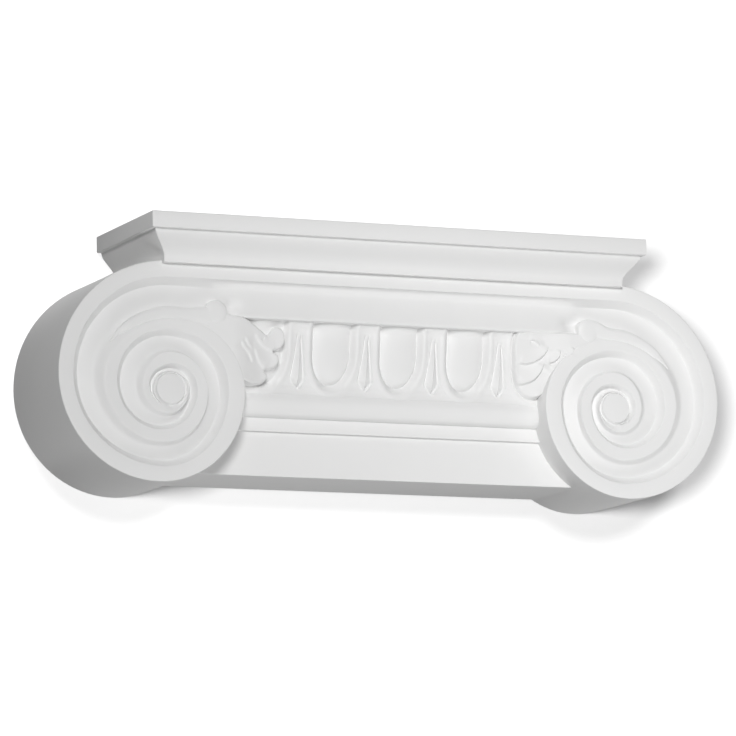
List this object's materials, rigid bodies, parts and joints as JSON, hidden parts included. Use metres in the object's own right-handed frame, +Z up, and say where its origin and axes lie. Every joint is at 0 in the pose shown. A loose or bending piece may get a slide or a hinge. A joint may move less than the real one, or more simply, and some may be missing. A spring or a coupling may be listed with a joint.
{
  "type": "ionic capital",
  "caption": "Shallow rectangular ionic capital with a flat back, scroll volutes, egg-and-dart strip between leaves, bead, plain neck and square abacus, to crown a flat pilaster",
  "frame": {"origin": "Middle of the footprint, level with the bottoms of the two volutes, which the capital stands on.", "axes": "+X runs to the right along the width, the ornamented front faces -Y, the flat back faces +Y, +Z is up."},
  "size_m": [0.317, 0.069, 0.1164],
  "materials": {
    "primed_foam": "smooth white primer on rigid moulded foam, matte with a soft sheen"
  },
  "bodies": {
    "root": {"capital": "primed_foam"}
  },
  "joints": []
}
